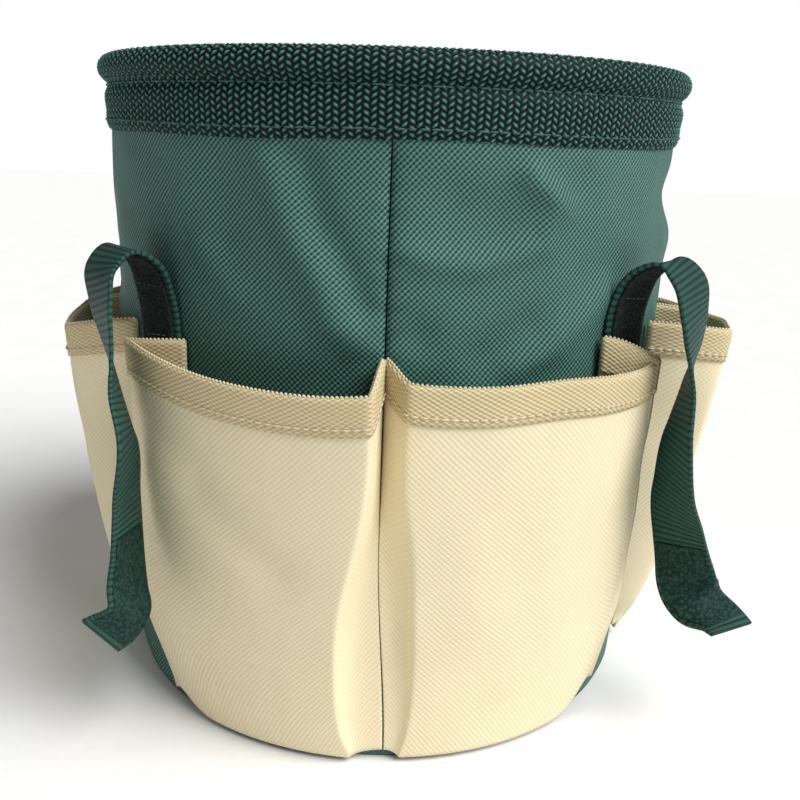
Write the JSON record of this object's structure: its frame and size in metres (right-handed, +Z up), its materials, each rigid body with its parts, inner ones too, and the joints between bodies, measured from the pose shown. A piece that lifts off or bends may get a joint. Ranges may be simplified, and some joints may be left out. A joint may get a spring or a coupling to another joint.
{
  "type": "garden tool bag",
  "caption": "Round self-standing fabric tool bag with a rolled webbing rim, bellows pockets round the outside and webbing tool straps",
  "frame": {"origin": "centre of the base on the ground", "axes": "+Z up out of the mouth, -Y towards the front seam between the two front pockets, +X to the right seen from the front"},
  "size_m": [0.3036, 0.3036, 0.276],
  "materials": {
    "body_fabric": "coated plain-weave polyester, dull",
    "seam_tape": "plain tape",
    "stiffener": "plain sheet",
    "lining": "coated polyester, dull",
    "hoop_spring": "smooth rod",
    "rim_webbing": "heavy ribbed webbing",
    "pocket_canvas": "plain-weave polyester canvas",
    "pocket_tape": "grosgrain tape with a stitch row",
    "strap_webbing": "ribbed webbing",
    "loop_pile": "napped loop pile",
    "hook_tape": "stiff hook tape"
  },
  "bodies": {
    "bag": {"body_panel_left": "body_fabric", "body_panel_right": "body_fabric", "front_seam_binding": "seam_tape", "back_seam_binding": "seam_tape", "base_panel": "body_fabric", "base_board": "stiffener", "base_lining": "lining", "base_seam_binding": "seam_tape", "rim_hoop": "hoop_spring", "rim_binding": "rim_webbing", "pocket_front_left": "pocket_canvas", "pocket_front_right": "pocket_canvas", "pocket_side_left_fore": "pocket_canvas", "pocket_side_right_fore": "pocket_canvas", "pocket_side_left_aft": "pocket_canvas", "pocket_side_right_aft": "pocket_canvas", "pocket_rear_left": "pocket_canvas", "pocket_rear_right": "pocket_canvas", "tape_front_left": "pocket_tape", "tape_front_right": "pocket_tape", "tape_side_left_fore": "pocket_tape", "tape_side_right_fore": "pocket_tape", "tape_side_left_aft": "pocket_tape", "tape_side_right_aft": "pocket_tape", "tape_rear_left": "pocket_tape", "tape_rear_right": "pocket_tape", "strap_left_root": "strap_webbing", "loop_patch_left": "loop_pile", "strap_right_root": "strap_webbing", "loop_patch_right": "loop_pile"},
    "strap_left": {"strap_left_tail": "strap_webbing", "hook_patch_left": "hook_tape"},
    "strap_right": {"strap_right_tail": "strap_webbing", "hook_patch_right": "hook_tape"}
  },
  "joints": [
    {"name": "strap_left_lift", "type": "hinge", "parent": "bag", "child": "strap_left", "pos_m": [-0.09935, -0.09935, 0.2083], "axis": [-0.7071, 0.7071, 0], "range_deg": [0, 95]},
    {"name": "strap_right_lift", "type": "hinge", "parent": "bag", "child": "strap_right", "pos_m": [0.09935, -0.09935, 0.2083], "axis": [-0.7071, -0.7071, 0], "range_deg": [0, 95]}
  ]
}
